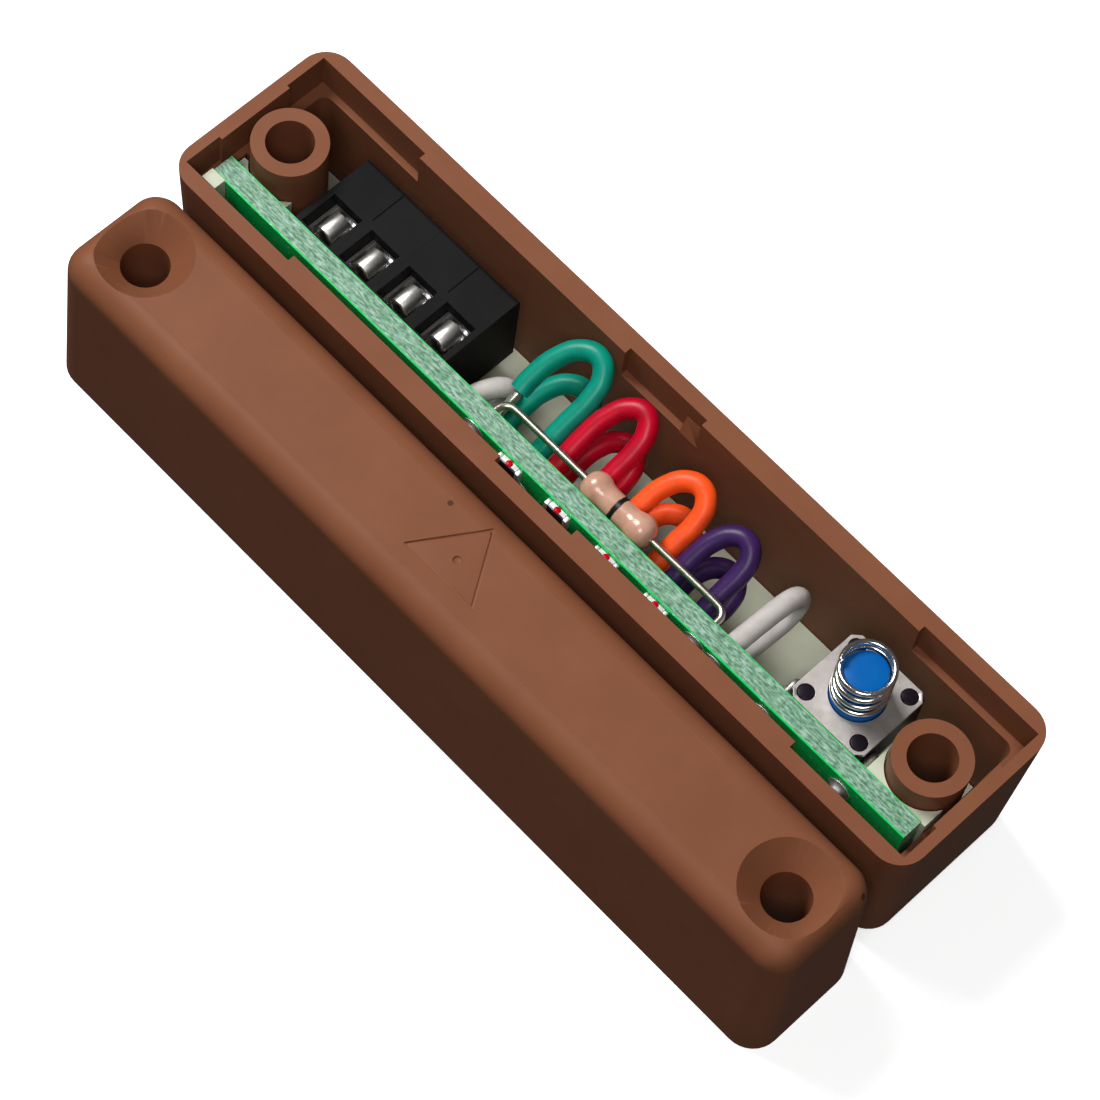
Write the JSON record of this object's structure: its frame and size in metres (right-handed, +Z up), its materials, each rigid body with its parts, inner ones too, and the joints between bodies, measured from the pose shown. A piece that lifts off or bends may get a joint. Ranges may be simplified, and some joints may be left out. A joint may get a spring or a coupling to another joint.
{
  "type": "door contact sensor",
  "caption": "Surface door contact: an open sensor half with a circuit board, screw terminals, wire loops and a sprung tamper switch, and a magnet half beside it.",
  "frame": {"origin": "middle of the footprint of the two halves side by side, on the surface that they lie on", "axes": "+X along both halves, from the terminal end to the tamper switch end; +Y from the magnet half to the sensor half; +Z up, out of the sensor half's open mounting side"},
  "size_m": [0.065, 0.024, 0.0164],
  "materials": {
    "case_brown": "moulded brown plastic, satin",
    "carrier_white": "moulded off-white plastic",
    "board_green": "green solder mask over glass fibre",
    "solder": "bright solder",
    "terminal_black": "moulded black plastic",
    "plated_metal": "nickel-plated brass and steel",
    "tinned_copper": "tinned copper wire",
    "chip_ceramic": "white alumina with a black film",
    "red_adhesive": "cured red adhesive",
    "link_beige": "beige lacquer with one black band",
    "reed_glass": "clear green glass",
    "reed_alloy": "nickel-iron strip",
    "switch_black": "moulded black plastic",
    "switch_plate": "stamped steel plate",
    "stem_blue": "moulded blue plastic",
    "spring_wire": "bright spring steel wire",
    "screw_steel": "zinc-plated steel",
    "magnet_grey": "sintered magnet",
    "wire_green": "soft vinyl insulation",
    "wire_red": "soft vinyl insulation",
    "wire_orange": "soft vinyl insulation",
    "wire_purple": "soft vinyl insulation",
    "wire_white": "soft vinyl insulation"
  },
  "bodies": {
    "sensor_half": {"sensor_housing": "case_brown", "inner_carrier": "carrier_white", "circuit_board": "board_green", "solder_joints": "solder", "terminal_block_left": "terminal_black", "terminal_block_right": "terminal_black", "contact_bars": "plated_metal", "green_loop_upper": "wire_green", "green_loop_lower": "wire_green", "red_loop_upper": "wire_red", "red_loop_lower": "wire_red", "orange_loop_upper": "wire_orange", "orange_loop_lower": "wire_orange", "purple_loop_upper": "wire_purple", "purple_loop_lower": "wire_purple", "white_loop_left": "wire_white", "white_loop_right": "wire_white", "loop_conductors": "tinned_copper", "link_resistor": "link_beige", "link_leads": "tinned_copper", "chip_resistors": "chip_ceramic", "chip_caps": "solder", "adhesive_dots": "red_adhesive", "reed_glass": "reed_glass", "reed_blade_fixed": "reed_alloy", "reed_lead": "reed_alloy", "switch_base": "switch_black", "switch_cover": "switch_plate", "switch_dome": "plated_metal", "switch_legs": "plated_metal"},
    "magnet_half": {"magnet_housing": "case_brown", "bar_magnet": "magnet_grey", "magnet_cradle": "carrier_white", "magnet_base_plate": "case_brown"},
    "reed_blade": {"reed_blade_moving": "reed_alloy"},
    "tamper_spring": {"tamper_spring": "spring_wire"},
    "switch_plunger": {"switch_stem": "stem_blue"},
    "clamp_screw_1": {"terminal_screw_1": "screw_steel"},
    "clamp_screw_2": {"terminal_screw_2": "screw_steel"},
    "clamp_screw_3": {"terminal_screw_3": "screw_steel"},
    "clamp_screw_4": {"terminal_screw_4": "screw_steel"},
    "clamp_ring_1": {"terminal_clamp_1": "plated_metal"},
    "clamp_ring_2": {"terminal_clamp_2": "plated_metal"},
    "clamp_ring_3": {"terminal_clamp_3": "plated_metal"},
    "clamp_ring_4": {"terminal_clamp_4": "plated_metal"}
  },
  "joints": [
    {"name": "magnet_travel", "type": "slide", "parent": "sensor_half", "child": "magnet_half", "axis": [0, -1, 0], "range_m": [0, 0.03]},
    {"name": "reed_blade_spring", "type": "hinge", "parent": "sensor_half", "child": "reed_blade", "pos_m": [0.00575, 0.00362, 0.00375], "axis": [0, 0, -1], "range_deg": [0, 1]},
    {"name": "tamper_spring_press", "type": "slide", "parent": "sensor_half", "child": "tamper_spring", "axis": [0, 0, -1], "range_m": [0, 0.00065], "stiffness_N_per_m": 300, "deforming": ["tamper_spring"]},
    {"name": "switch_plunger_press", "type": "slide", "parent": "sensor_half", "child": "switch_plunger", "axis": [0, 0, -1], "range_m": [0, 0.00025], "deforming": ["switch_dome"]},
    {"name": "clamp_screw_1_turn", "type": "hinge", "parent": "sensor_half", "child": "clamp_screw_1", "pos_m": [-0.02335, 0.0076, 0.0089], "axis": [0, -1, 0], "range_deg": [0, 900]},
    {"name": "clamp_ring_1_rise", "type": "slide", "parent": "sensor_half", "child": "clamp_ring_1", "axis": [0, 1, 0], "range_m": [0, 0.001]},
    {"name": "clamp_screw_2_turn", "type": "hinge", "parent": "sensor_half", "child": "clamp_screw_2", "pos_m": [-0.01985, 0.0076, 0.0089], "axis": [0, -1, 0], "range_deg": [0, 900]},
    {"name": "clamp_ring_2_rise", "type": "slide", "parent": "sensor_half", "child": "clamp_ring_2", "axis": [0, 1, 0], "range_m": [0, 0.001]},
    {"name": "clamp_screw_3_turn", "type": "hinge", "parent": "sensor_half", "child": "clamp_screw_3", "pos_m": [-0.01635, 0.0076, 0.0089], "axis": [0, -1, 0], "range_deg": [0, 900]},
    {"name": "clamp_ring_3_rise", "type": "slide", "parent": "sensor_half", "child": "clamp_ring_3", "axis": [0, 1, 0], "range_m": [0, 0.001]},
    {"name": "clamp_screw_4_turn", "type": "hinge", "parent": "sensor_half", "child": "clamp_screw_4", "pos_m": [-0.01285, 0.0076, 0.0089], "axis": [0, -1, 0], "range_deg": [0, 900]},
    {"name": "clamp_ring_4_rise", "type": "slide", "parent": "sensor_half", "child": "clamp_ring_4", "axis": [0, 1, 0], "range_m": [0, 0.001]}
  ],
  "couplings": [
    {"joint": "reed_blade_spring", "follows": "magnet_travel", "rad_per_m": 0.58},
    {"joint": "switch_plunger_press", "follows": "tamper_spring_press", "ratio": 0.3846},
    {"joint": "clamp_screw_1_turn", "follows": "clamp_ring_1_rise", "rad_per_m": 15708},
    {"joint": "clamp_screw_2_turn", "follows": "clamp_ring_2_rise", "rad_per_m": 15708},
    {"joint": "clamp_screw_3_turn", "follows": "clamp_ring_3_rise", "rad_per_m": 15708},
    {"joint": "clamp_screw_4_turn", "follows": "clamp_ring_4_rise", "rad_per_m": 15708}
  ]
}
